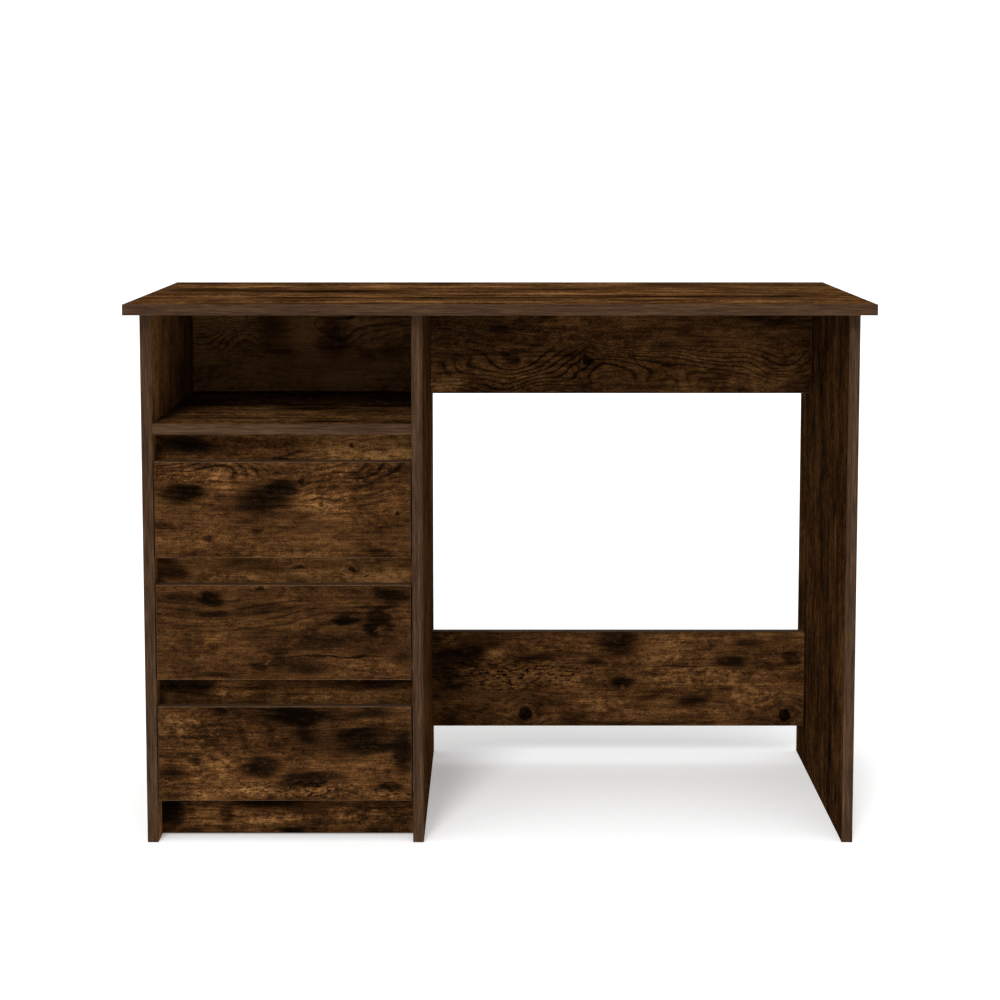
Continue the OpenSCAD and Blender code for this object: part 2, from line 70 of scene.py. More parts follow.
class Graph:
    """Adds nodes to one tree. Each call takes numbers or sockets and returns an output socket."""

    def __init__(self, tree):
        self.tree = tree

    def put(self, socket, value):
        """Links a socket's value to an input, or sets a constant on it."""
        if isinstance(value, bpy.types.NodeSocket):
            self.tree.links.new(value, socket)
        else:
            socket.default_value = value

    def node(self, kind, inputs=(), **settings):
        made = self.tree.nodes.new(kind)
        for name, value in settings.items():
            setattr(made, name, value)
        for name, value in dict(inputs).items():
            self.put(made.inputs[name], value)
        return made

    def math(self, operation, *values, clamp=False):
        made = self.node("ShaderNodeMath", operation=operation, use_clamp=clamp)
        for socket, value in zip(made.inputs, values):
            self.put(socket, value)
        return made.outputs[0]

    def total(self, *values):
        result = values[0]
        for value in values[1:]:
            result = self.math("ADD", result, value)
        return result

    def swing(self, value, amount):
        """A 0..1 pattern turned into a swing of -amount/2..amount/2."""
        return self.math("MULTIPLY_ADD", value, amount, -amount / 2)

    def vector(self, operation, first, second=None):
        made = self.node("ShaderNodeVectorMath", operation=operation)
        self.put(made.inputs[0], first)
        if second is not None:
            self.put(made.inputs[1], second)
        return made.outputs["Value" if operation in ("LENGTH", "DOT_PRODUCT") else "Vector"]

    def split(self, vector):
        return self.node("ShaderNodeSeparateXYZ", {"Vector": vector}).outputs

    def join(self, x, y, z):
        return self.node("ShaderNodeCombineXYZ", {"X": x, "Y": y, "Z": z}).outputs[0]

    def noise(self, vector, stretch, detail=2.0, roughness=0.5, distortion=0.0):
        """Noise 0..1 whose features are 1/stretch metres long in each direction."""
        placed = self.vector("MULTIPLY", vector, stretch)
        made = self.node(
            "ShaderNodeTexNoise",
            {"Vector": placed, "Scale": 1.0, "Detail": detail, "Roughness": roughness,
             "Distortion": distortion},
        )
        return made.outputs[0]

    def smooth(self, value, start, end, low=0.0, high=1.0):
        """Smooth step from low at start to high at end."""
        made = self.node(
            "ShaderNodeMapRange",
            {"Value": value, "From Min": start, "From Max": end, "To Min": low, "To Max": high},
            interpolation_type="SMOOTHSTEP",
        )
        return made.outputs[0]

    def ramp(self, value, stops):
        """Colours from (place 0..1, colour) stops."""
        made = self.node("ShaderNodeValToRGB", {"Fac": value})
        elements = made.color_ramp.elements
        while len(elements) < len(stops):
            elements.new(0.5)
        for element, (place, colour) in zip(elements, stops):
            element.position = place
            element.color = colour
        return made.outputs["Color"]

    def mix(self, factor, first, second, blend="MIX"):
        """Mixes colours. The node's colour inputs are 6 and 7, and its colour output is 2."""
        made = self.node("ShaderNodeMix", data_type="RGBA", blend_type=blend)
        self.put(made.inputs[0], factor)
        self.put(made.inputs[6], first)
        self.put(made.inputs[7], second)
        return made.outputs[2]

    def bump(self, height, strength, distance):
        inputs = {"Height": height, "Strength": strength, "Distance": distance}
        return self.node("ShaderNodeBump", inputs).outputs[0]


def srgb(red, green, blue):
    """A colour given as 0..255 display values, as linear RGBA."""
    def linear(value):
        value /= 255
        return value / 12.92 if value <= 0.04045 else ((value + 0.055) / 1.055) ** 2.4

    return (linear(red), linear(green), linear(blue), 1.0)


def new_material(name, specular=0.5, metallic=0.0):
    """A material, its graph and its Principled shader, whose constants are set here."""
    material = bpy.data.materials.new(name)
    material.use_nodes = True
    shader = material.node_tree.nodes["Principled BSDF"]
    shader.inputs["Specular IOR Level"].default_value = specular
    shader.inputs["Metallic"].default_value = metallic
    return material, Graph(material.node_tree), shader


# ---------------------------------------------------------------- the oak print

MIDDLE_VALUE = 0.555  # the print's lightness where no mark or grain changes it
VALUE_TOP = 1.25  # the lightest value that has its own colour

# Colours of the print from its darkest to its lightest value.
PRINT_COLOURS = (
    (0.00, srgb(9, 5, 2)),
    (0.22, srgb(27, 16, 7)),
    (0.40, srgb(46, 28, 13)),
    (0.56, srgb(66, 42, 21)),
    (0.74, srgb(90, 60, 32)),
    (1.00, srgb(128, 90, 52)),
    (VALUE_TOP, srgb(152, 111, 68)),
)
WARM_TINT = (1.0, 0.82, 0.70, 1.0)
SEED_STEP = 3.7  # how far the shown side's seed lies from the other sides'

# Layers of the grain: stretch along it, across it and by seed, then detail, roughness and swing.
GRAIN = {
    "fibres": ((26, 620, 1), 4, 0.70, 0.62),
    "strokes": ((46, 300, 3), 5, 0.75, 0.42),
    "streaks": ((7, 130, 3), 4, 0.60, 0.42),
    "bands": ((2.2, 30, 5), 3, 0.55, 0.45),
    "clouds": ((11, 20, 7), 6, 0.66, 1.05),
    "mottle": ((85, 125, 9), 5, 0.80, 1.15),
    "grit": ((420, 620, 1), 2, 0.60, 0.60),
}
GROUP_INPUTS = ("Tone", "Dark", "Light", "Loops", "Crackle", "Contrast")
MARK_KINDS = ("dark", "light", "loops", "crackle")


def swayed(g, place):
    """The board's place with the grain's own slow sway and fine ripple across it."""
    sway = g.swing(g.noise(place, (2.0, 7, 1)), 0.014)
    ripple = g.swing(g.noise(place, (16, 60, 1), 3, 0.6), 0.0025)
    return g.vector("ADD", place, g.join(0.0, g.math("ADD", sway, ripple), 0.0))


def ring_lines(g, place, per_metre, stretch, curl, edge):
    """Growth rings: level lines of a slope with clouds in it, which close into loops."""
    slope = g.math("MULTIPLY", g.split(place)["Y"], per_metre)
    clouds = g.noise(place, stretch, 1, 0.4)
    level = g.math("ADD", slope, g.math("MULTIPLY", clouds, curl))
    return g.smooth(g.math("PINGPONG", level, 0.5), *edge)


def growth_rings(g, place):
    """Faint rings, in some zones only."""
    lines = ring_lines(g, place, 78.0, (3.2, 11, 13), 13.0, (0.20, 0.05))
    zone = g.smooth(g.noise(place, (3, 9, 17), 2), 0.50, 0.62)
    return g.math("MULTIPLY", lines, zone)


def cathedral_grain(g, place, amount):
    """Closer and more curled rings inside the board's loop marks."""
    lines = ring_lines(g, place, 105.0, (7, 13, 37), 15.0, (0.24, 0.02))
    return g.math("MULTIPLY", lines, amount)


def short_checks(g, place):
    """Short dark cracks along the grain, in some zones only."""
    cracks = g.smooth(g.noise(place, (34, 430, 19), 2, 0.5), 0.64, 0.71)
    zone = g.smooth(g.noise(place, (8, 22, 23), 2), 0.48, 0.60)
    return g.math("MULTIPLY", cracks, zone)


def flaked_paint(g, place, amount):
    """Cracked, flaked paint inside the board's crackle marks."""
    flakes = g.smooth(g.noise(place, (110, 300, 29), 4, 0.75), 0.50, 0.58)
    return g.math("MULTIPLY", flakes, amount)


def print_value(g, place, given, layers, cracks, flakes):
    """Lightness of the print: its middle value, the board's tone and marks, and the grain."""
    # stains and the marks' borders are dry-brushed: fine strokes break them up
    brush = g.total(g.swing(layers["strokes"], 1.0), g.swing(layers["mottle"], 2.6),
                    g.swing(layers["clouds"], 1.4))
    stains = g.math("MULTIPLY", g.smooth(g.noise(place, (8, 20, 11), 3, 0.6), 0.50, 0.72), 0.75)
    dark = g.smooth(g.total(given["Dark"], stains, brush), 0.25, 1.15)
    light = g.smooth(g.total(given["Light"], g.math("MULTIPLY", brush, 0.8)), 0.20, 1.20)
    grain = g.total(*(g.swing(layers[name], amount) for name, (*_, amount) in GRAIN.items()))
    weighted = (
        (light, 0.28), (dark, -0.41), (growth_rings(g, place), -0.13), (cracks, -0.22),
        (flakes, -0.50), (given["Crackle"], 0.16),
        (cathedral_grain(g, place, given["Loops"]), -0.26),
    )
    return g.total(MIDDLE_VALUE, given["Tone"], g.math("MULTIPLY", grain, given["Contrast"]),
                   *(g.math("MULTIPLY", part, weight) for part, weight in weighted))


def print_colour(g, place, value, layers):
    """The value's colour, broken up by pores and warmed in wide patches."""
    stops = [(step / VALUE_TOP, tint) for step, tint in PRINT_COLOURS]
    colour = g.ramp(g.math("DIVIDE", value, VALUE_TOP, clamp=True), stops)
    pores = g.total(1.0, g.swing(layers["fibres"], 0.5), g.swing(layers["grit"], 0.35))
    colour = g.mix(1.0, colour, g.join(pores, pores, pores), "MULTIPLY")
    warm = g.smooth(g.noise(place, (5, 16, 31), 2), 0.45, 0.70)
    return g.mix(g.math("MULTIPLY", warm, 0.18), colour, WARM_TINT, "MULTIPLY")


def printed_oak_group():
    """Oak print from board coordinates: x along the grain, y across it, z a seed.

    Tone and Contrast are the whole board's. Dark, Light, Loops and Crackle are its own marks,
    which the common grain breaks up."""
    tree = bpy.data.node_groups.new("printed_oak", "ShaderNodeTree")
    tree.interface.new_socket("Place", in_out="INPUT", socket_type="NodeSocketVector")
    for name in GROUP_INPUTS:
        tree.interface.new_socket(name, in_out="INPUT", socket_type="NodeSocketFloat")
    tree.interface.new_socket("Color", in_out="OUTPUT", socket_type="NodeSocketColor")
    for name in ("Height", "Roughness"):
        tree.interface.new_socket(name, in_out="OUTPUT", socket_type="NodeSocketFloat")
    g = Graph(tree)
    given = g.node("NodeGroupInput").outputs
    place = swayed(g, given["Place"])
    layers = {name: g.noise(place, stretch, detail, roughness)
              for name, (stretch, detail, roughness, _) in GRAIN.items()}
    cracks = short_checks(g, place)
    flakes = flaked_paint(g, place, given["Crackle"])
    value = print_value(g, place, given, layers, cracks, flakes)
    height = g.total(g.swing(layers["fibres"], 0.7), g.swing(layers["streaks"], 0.3),
                     g.math("MULTIPLY", cracks, -0.6), g.math("MULTIPLY", flakes, -0.3))
    rough = g.total(0.74, g.swing(layers["streaks"], 0.12), g.swing(layers["grit"], 0.10))
    g.node("NodeGroupOutput", {
        "Color": print_colour(g, place, value, layers), "Height": height, "Roughness": rough})
    return tree


PRINTED_OAK = printed_oak_group()


class Face:
    """Where a board's print lies: its corner, the ways along and across the grain, its shown side."""

    def __init__(self, node, along, across, shown):
        low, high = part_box(node)
        self.along = Vector(along)
        self.across = Vector(across)
        self.shown = Vector(shown)
        corner = Vector(
            high[i] if self.along[i] + self.across[i] < 0 else low[i] for i in range(3)
        )
        self.start = (corner.dot(self.along), corner.dot(self.across))
        size = high - low
        self.size = (abs(size.dot(self.along)), abs(size.dot(self.across)))


def knot_darkness(g, reach, strength):
    """A knot's solid core, inside rings that fade out. reach is 1 at the mark's outline."""
    core = g.smooth(reach, 0.66, 0.42, high=strength * 1.25)
    rings = g.math("PINGPONG", g.math("MULTIPLY", reach, 3.4), 0.5)
    rings = g.smooth(rings, 0.30, 0.05, high=0.4 * strength)
    return g.math("MAXIMUM", core, g.math("MULTIPLY", rings, g.smooth(reach, 1.35, 0.8)))


def mark_fields(g, face, place, flat, marks):
    """The marks' fields by kind, and under "bend" how far each knot moves the grain sideways."""
    ragged = g.join(
        g.swing(g.noise(place, (24, 90, 1), 5, 0.7), 0.040),
        g.swing(g.noise(place, (18, 60, 5), 4, 0.65), 0.016), 0.0)
    torn = g.vector("ADD", flat, ragged)
    nearly_round = g.vector("ADD", flat, g.vector("MULTIPLY", ragged, (0.25, 0.40, 0.0)))
    fields = {kind: [] for kind in MARK_KINDS + ("bend",)}
    length, breadth = face.size
    for kind, u, v, half_u, half_v, turn, strength in marks:
        local = g.node("ShaderNodeMapping", {
            "Vector": nearly_round if kind == "knot" else torn,
            "Location": (u * length, v * breadth, 0.0),
            "Rotation": (0.0, 0.0, math.radians(turn)),
            "Scale": (half_u * length, half_v * breadth, 1.0),
        }, vector_type="TEXTURE").outputs[0]
        reach = g.vector("LENGTH", local)
        if kind == "knot":
            fields["dark"].append(knot_darkness(g, reach, strength))
            pull = g.smooth(reach, 2.4, 0.4, high=-0.75 * half_v * breadth)
            fields["bend"].append(g.math("MULTIPLY", g.split(local)["Y"], pull))
        else:
            fields[kind].append(g.smooth(reach, 1.55, 0.20, high=strength))
    return fields


def oak_material(name, face, seed, tone=0.0, tone_slope=0.0, contrast=1.0, marks=()):
    """The print of one board, whose tone and marks lie on its shown side only.

    A mark is (kind, u, v, half width, half height, turn in degrees, strength). u, v and the halves
    are shares of the board's length and breadth, from the shown side's top left. Kinds: dark and
    light stains, knot, loops (cathedral grain), crackle (cracked paint). A light mark can also be
    painted light, and a board's tone can be painted light that lightens a shaded face."""
    material, g, shader = new_material(name, specular=0.0)
    coordinates = g.node("ShaderNodeTexCoord").outputs
    spot = coordinates["Object"]
    along = g.math("SUBTRACT", g.vector("DOT_PRODUCT", spot, face.along), face.start[0])
    across = g.math("SUBTRACT", g.vector("DOT_PRODUCT", spot, face.across), face.start[1])
    is_shown = g.smooth(g.vector("DOT_PRODUCT", coordinates["Normal"], face.shown), 0.4, 0.6)
    place = g.join(along, across, g.math("MULTIPLY_ADD", is_shown, SEED_STEP, seed))

    fields = mark_fields(g, face, place, g.join(along, across, 0.0), marks)
    shown = {kind: g.math("MULTIPLY", g.total(*parts), is_shown) if parts else 0.0
             for kind, parts in fields.items()}
    slope = g.math("MULTIPLY_ADD", along, tone_slope / face.size[0], tone - tone_slope / 2)
    group_inputs = {
        "Place": g.vector("ADD", place, g.join(0.0, shown["bend"], 0.0)),
        "Tone": g.math("MULTIPLY", slope, is_shown),
        "Contrast": contrast,
    }
    for kind in MARK_KINDS:
        group_inputs[kind.capitalize()] = shown[kind]
    group = g.node("ShaderNodeGroup", group_inputs, node_tree=PRINTED_OAK)
    g.put(shader.inputs["Base Color"], group.outputs["Color"])
    g.put(shader.inputs["Roughness"], group.outputs["Roughness"])
    g.put(shader.inputs["Normal"], g.bump(group.outputs["Height"], 0.35, 0.0003))
    return material


# ---------------------------------------------------------------- the other materials


def stretched(axis, along, across):
    """Noise stretch for a piece whose grain runs along one axis."""
    return tuple(along if i == axis else across for i in range(3))


def edge_band_material(axis):
    """Edge tape, plainer and lighter than the boards, with its grain along one axis."""
    material, g, shader = new_material("edge_band_" + "xyz"[axis], specular=0.02)
    place = g.node("ShaderNodeTexCoord").outputs["Object"]
    fibres = g.noise(place, stretched(axis, 26, 520), 4, 0.7)
    streaks = g.noise(place, stretched(axis, 5, 220), 3, 0.55)
    patches = g.noise(place, stretched(axis, 6, 30), 2)
    value = g.total(0.5, g.swing(fibres, 1.9), g.swing(streaks, 0.8), g.swing(patches, 0.4))
    colour = g.ramp(value, ((0.1, srgb(42, 28, 18)), (0.5, srgb(63, 45, 31)), (0.9, srgb(85, 63, 45))))
    g.put(shader.inputs["Base Color"], colour)
    g.put(shader.inputs["Roughness"], g.total(0.5, g.swing(streaks, 0.12)))
    g.put(shader.inputs["Normal"], g.bump(fibres, 0.3, 0.0002))
    return material


def chipboard_material():
    """Raw edge of a board: pressed wood chips of different sizes and tones."""
    material, g, shader = new_material("raw_chipboard", specular=0.1)
    place = g.node("ShaderNodeTexCoord").outputs["Object"]
    chips = g.node("ShaderNodeTexVoronoi", {"Vector": place, "Scale": 420.0, "Randomness": 1.0})
    large = g.node("ShaderNodeTexVoronoi", {"Vector": place, "Scale": 130.0, "Randomness": 1.0})
    tone = g.total(
        g.math("MULTIPLY", g.split(chips.outputs["Color"])["X"], 0.5),
        g.math("MULTIPLY", g.split(large.outputs["Color"])["X"], 0.3),
        g.swing(g.noise(place, (900, 900, 900), 3), 0.4), 0.1)
    colour = g.ramp(tone, ((0.05, srgb(92, 66, 42)), (0.5, srgb(152, 119, 82)),
                           (0.95, srgb(196, 166, 124))))
    g.put(shader.inputs["Base Color"], colour)
    g.put(shader.inputs["Roughness"], 0.92)
    g.put(shader.inputs["Normal"], g.bump(tone, 0.8, 0.0006))
    return material


def drawer_foil_material():
    """Plain brown foil of the drawer boxes: a faint straight grain along the drawer's board."""
    material, g, shader = new_material("drawer_foil", specular=0.25)
    place = g.node("ShaderNodeTexCoord").outputs["Object"]
    lines = g.noise(place, (16, 16, 620), 3, 0.6)
    streaks = g.noise(place, (4, 4, 120), 3, 0.55)
    value = g.total(0.5, g.swing(lines, 0.5), g.swing(streaks, 0.6))
    colour = g.ramp(value, ((0.1, srgb(82, 62, 46)), (0.5, srgb(106, 82, 62)),
                            (0.9, srgb(128, 102, 79))))
    g.put(shader.inputs["Base Color"], colour)
    g.put(shader.inputs["Roughness"], g.total(0.52, g.swing(streaks, 0.1)))
    g.put(shader.inputs["Normal"], g.bump(lines, 0.25, 0.0002))
    return material


def hardboard_material():
    """Drawer bottoms: felted fibre with darker flecks."""
    material, g, shader = new_material("hardboard", specular=0.15)
    place = g.node("ShaderNodeTexCoord").outputs["Object"]
    felt = g.noise(place, (260, 260, 260), 4, 0.7, 0.6)
    flecks = g.smooth(g.noise(place, (700, 240, 500), 2), 0.58, 0.70)
    tone = g.total(g.swing(felt, 0.9), 0.5, g.math("MULTIPLY", flecks, -0.25))
    colour = g.ramp(tone, ((0.1, srgb(112, 82, 54)), (0.5, srgb(142, 108, 74)),
                           (0.9, srgb(168, 134, 96))))
    g.put(shader.inputs["Base Color"], colour)
    g.put(shader.inputs["Roughness"], g.total(0.78, g.swing(felt, 0.15)))
    g.put(shader.inputs["Normal"], g.bump(felt, 0.35, 0.0003))
    return material


def coated_steel_material():
    """White powder coat: fine orange peel, slightly worn to grey along the tracks."""
    material, g, shader = new_material("powder_coat", specular=0.45)
    place = g.node("ShaderNodeTexCoord").outputs["Object"]
    peel = g.noise(place, (900, 900, 900), 3, 0.6)
    wear = g.smooth(g.noise(place, (30, 6, 160), 3), 0.56, 0.72)
    colour = g.mix(g.math("MULTIPLY", wear, 0.45), srgb(236, 236, 231), srgb(196, 197, 195))
    g.put(shader.inputs["Base Color"], colour)
    g.put(shader.inputs["Roughness"], g.total(0.38, g.swing(peel, 0.2)))
    g.put(shader.inputs["Normal"], g.bump(peel, 0.3, 0.0002))
    return material


def zinc_material():
    """Zinc-plated steel: a cloudy bloom under fine scratches."""
    material, g, shader = new_material("zinc_plate", metallic=1.0)
    place = g.node("ShaderNodeTexCoord").outputs["Object"]
    bloom = g.noise(place, (320, 320, 320), 4, 0.6)
    scratches = g.noise(place, (2600, 200, 2600), 2)
    colour = g.ramp(bloom, ((0.25, srgb(176, 177, 176)), (0.75, srgb(222, 223, 220))))
    g.put(shader.inputs["Base Color"], colour)
    g.put(shader.inputs["Roughness"], g.total(0.34, g.swing(bloom, 0.25), g.swing(scratches, 0.1)))
    g.put(shader.inputs["Normal"], g.bump(scratches, 0.2, 0.0001))
    return material


def moulded_material(name, colour, darker, rough):
    """Moulded plastic: faint flow marks and a fine spark-eroded grain."""
    material, g, shader = new_material(name, specular=0.4)
    place = g.node("ShaderNodeTexCoord").outputs["Object"]
    flow = g.noise(place, (60, 60, 120), 3, 0.5, 1.0)
    grain = g.noise(place, (1500, 1500, 1500), 2, 0.6)
    g.put(shader.inputs["Base Color"], g.mix(g.smooth(flow, 0.35, 0.65), colour, darker))
    g.put(shader.inputs["Roughness"], g.total(rough, g.swing(grain, 0.15)))
    g.put(shader.inputs["Normal"], g.bump(grain, 0.25, 0.0001))
    return material


def beech_material():
    """Dowels: pale fibres with the short dark rays of beech."""
    material, g, shader = new_material("raw_beech", specular=0.2)
    place = g.node("ShaderNodeTexCoord").outputs["Object"]
    rays = g.smooth(g.noise(place, (160, 160, 900), 2), 0.56, 0.66)
    fibres = g.noise(place, (90, 90, 700), 3)
    colour = g.ramp(fibres, ((0.3, srgb(190, 148, 102)), (0.7, srgb(222, 184, 138))))
    colour = g.mix(g.math("MULTIPLY", rays, 0.5), colour, srgb(158, 112, 70))
    g.put(shader.inputs["Base Color"], colour)
    g.put(shader.inputs["Roughness"], 0.7)
    g.put(shader.inputs["Normal"], g.bump(fibres, 0.3, 0.0002))
    return material


BANDS = [edge_band_material(axis) for axis in (X, Y, Z)]
CHIPBOARD = chipboard_material()


# ---------------------------------------------------------------- boards


def box_into(shape, low, high):
    """Adds an axis-aligned box to a bmesh."""
    corners = [
        shape.verts.new((x, y, z))
        for x in (low[0], high[0]) for y in (low[1], high[1]) for z in (low[2], high[2])
    ]
    for loop in ((0, 1, 3, 2), (4, 6, 7, 5), (0, 4, 5, 1), (2, 3, 7, 6), (0, 2, 6, 4), (1, 5, 7, 3)):
        shape.faces.new([corners[i] for i in loop])


def object_from(name, shape, materials):
    """Turns a bmesh into an object in the scene, and frees it."""
    bmesh.ops.recalc_face_normals(shape, faces=shape.faces)
    mesh = bpy.data.meshes.new(name)
    shape.to_mesh(mesh)
    shape.free()
    for material in materials:
        mesh.materials.append(material)
    piece = bpy.data.objects.new(name, mesh)
    bpy.context.scene.collection.objects.link(piece)
    return piece


def round_corners(piece, width, segments=2):
    bevel = piece.modifiers.new("rounding", "BEVEL")
    bevel.width = width
    bevel.segments = segments
    bevel.limit_method = "ANGLE"
    bevel.angle_limit = math.radians(40)
    bevel.use_clamp_overlap = True


def islands(node):
    """(lowest, highest) corner of each separate solid of a CAD node."""
    shape = bmesh.new()
    shape.from_mesh(NODES[node].data)
    bmesh.ops.remove_doubles(shape, verts=shape.verts, dist=SAME_PLACE)
    unseen = set(shape.verts)
    found = []
    while unseen:
        reached = []
        frontier = [unseen.pop()]
        while frontier:
            vertex = frontier.pop()
            reached.append(vertex.co.copy())
            for edge in vertex.link_edges:
                other = edge.other_vert(vertex)
                if other in unseen:
                    unseen.remove(other)
                    frontier.append(other)
        found.append((Vector(map(min, zip(*reached))), Vector(map(max, zip(*reached)))))
    shape.free()
    return found


CAMS = islands("cam_locks")


def cut_pockets(piece, low, high, thin):
    """Cuts a round pocket wherever a cam lies at one of the board's two wide faces."""
    cutter = bmesh.new()
    for cam_low, cam_high in CAMS:
        middle = (cam_low + cam_high) / 2
        if not all(low[i] < middle[i] < high[i] for i in range(3)):
            continue
        wide = [i for i in range(3) if i != thin]
        radius = max(cam_high[i] - cam_low[i] for i in wide) / 2 + CUT_GAP
        at_top = high[thin] - cam_high[thin] < cam_low[thin] - low[thin]
        top = high[thin] + CUT_PAST if at_top else cam_high[thin] + CUT_GAP
        bottom = cam_low[thin] - CUT_GAP if at_top else low[thin] - CUT_PAST
        centre = middle.copy()
        centre[thin] = (top + bottom) / 2
        made = bmesh.ops.create_cone(
            cutter, cap_ends=True, segments=48, radius1=radius, radius2=radius, depth=top - bottom)
        direction = Vector(float(i == thin) for i in range(3))
        bmesh.ops.rotate(cutter, verts=made["verts"],
                         matrix=direction.to_track_quat("Z", "Y").to_matrix())
        bmesh.ops.translate(cutter, verts=made["verts"], vec=centre)
    if not cutter.verts:
        cutter.free()
        return
    tool = object_from("pocket_tool", cutter, [CHIPBOARD])
    boolean = piece.modifiers.new("pockets", "BOOLEAN")
    boolean.operation = "DIFFERENCE"
    boolean.solver = "EXACT"
    boolean.material_mode = "TRANSFER"
    boolean.object = tool
    bpy.context.view_layer.update()
    evaluated = piece.evaluated_get(bpy.context.evaluated_depsgraph_get())
    cut = bpy.data.meshes.new_from_object(evaluated)
    piece.modifiers.clear()
    piece.data = cut
    bpy.data.objects.remove(tool)


def without_bands(low, high, banded):
    """The corners of a board's core, which ends where its edge bands start."""
    core_low, core_high = low.copy(), high.copy()
    for side in banded:
        axis, end = SIDES[side]
        if end < 0:
            core_low[axis] += BAND_T
        else:
            core_high[axis] -= BAND_T
    return core_low, core_high


def build_core(node, core, thin, print_material, banded_box):
    """The board itself: printed on its two wide faces, chipboard on its narrow ones."""
    shape = bmesh.new()
    box_into(shape, *core)
    piece = object_from(node + "_board", shape, [print_material, CHIPBOARD])
    cut_pockets(piece, *banded_box, thin)
    for face in piece.data.polygons:
        if abs(face.normal[thin]) < 0.9:
            face.material_index = 1
    round_corners(piece, CORE_ROUND, 1)
    return piece


def build_band(node, side, corners, thin):
    """One edge-band strip between two corners, with its grain along its length."""
    axis, end = SIDES[side]
    long_axis = next(i for i in range(3) if i not in (axis, thin))
    shape = bmesh.new()
    box_into(shape, *corners)
    strip = object_from(f"{node}_band_{side}", shape, [BANDS[long_axis]])
    round_outer_edges(strip, axis, end)
    return strip


def build_board(node, body, thin, print_material, banded):
    """A board with its edge bands. thin is the axis across its thickness; banded lists its SIDES."""
    low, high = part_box(node)
    core_low, core_high = without_bands(low, high, banded)
    core = build_core(node, (core_low, core_high), thin, print_material, (low, high))
    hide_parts(node)
    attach(core, body)
    first_axis = SIDES[banded[0]][0]
    for side in banded:
        axis, end = SIDES[side]
        strip_low, strip_high = core_low.copy(), core_high.copy()
        if axis == first_axis:  # the first pair of strips covers the ends of the second
            strip_low, strip_high = low.copy(), high.copy()
        strip_low[axis] = high[axis] - BAND_T if end > 0 else low[axis]
        strip_high[axis] = high[axis] if end > 0 else low[axis] + BAND_T
        strip = build_band(node, side, (strip_low, strip_high), thin)
        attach(strip, body)


def round_outer_edges(strip, axis, end):
    """Rounds the strip's edges on its outer side, as an edge bander's cutter does."""
    shape = bmesh.new()
    shape.from_mesh(strip.data)
    outer = max(end * v.co[axis] for v in shape.verts)
    edges = [edge for edge in shape.edges
             if all(abs(end * v.co[axis] - outer) < SAME_PLACE for v in edge.verts)]
    bmesh.ops.bevel(shape, geom=edges, offset=BAND_ROUND, segments=3, profile=0.5, affect="EDGES")
    shape.to_mesh(strip.data)
    shape.free()


SEEN_FROM_FRONT = {"along": (1, 0, 0), "across": (0, 0, -1), "shown": (0, -1, 0)}
SEEN_FROM_ABOVE = {"along": (1, 0, 0), "across": (0, -1, 0), "shown": (0, 0, 1)}

# The boards' marks, listed one by one: (kind, u, v, half width, half height, turn, strength), as
# oak_material says.
UPPER_FRONT_MARKS = (
    ("loops", 0.20, 0.06, 0.24, 0.12, 0, 1.3),
    ("loops", 0.82, 0.08, 0.22, 0.14, 0, 1.3),
    ("loops", 0.80, 0.36, 0.20, 0.10, 0, 0.6),
    ("light", 0.16, 0.14, 0.22, 0.12, 0, 0.7),
    ("light", 0.80, 0.10, 0.20, 0.12, 0, 0.6),
    ("light", 0.66, 0.42, 0.16, 0.14, 0, 0.5),
    ("light", 0.90, 0.58, 0.14, 0.10, 0, 0.3),
    ("light", 0.30, 0.58, 0.20, 0.10, 0, 0.25),
    ("dark", 0.10, 0.34, 0.085, 0.12, 0, 1.2),
    ("dark", 0.17, 0.30, 0.06, 0.06, 0, 0.8),
    ("dark", 0.41, 0.38, 0.12, 0.15, -8, 1.1),
    ("dark", 0.50, 0.27, 0.06, 0.09, -12, 1.0),
    ("knot", 0.575, 0.20, 0.022, 0.065, 0, 0.5),
    ("knot", 0.655, 0.45, 0.020, 0.05, 0, 1.0),
    ("knot", 0.21, 0.80, 0.022, 0.065, 0, 0.7),
    ("dark", 0.22, 0.80, 0.035, 0.07, 0, 0.7),
    ("dark", 0.23, 0.90, 0.03, 0.05, 0, 0.6),
    ("dark", 0.40, 0.73, 0.025, 0.035, 0, 0.8),
    ("knot", 0.95, 0.54, 0.014, 0.035, 0, 0.9),
    ("dark", 0.86, 0.92, 0.06, 0.03, 0, 0.9),
    ("dark", 0.90, 0.77, 0.16, 0.08, 0, 0.45),
    ("dark", 0.60, 0.66, 0.20, 0.10, 0, 0.25),
)
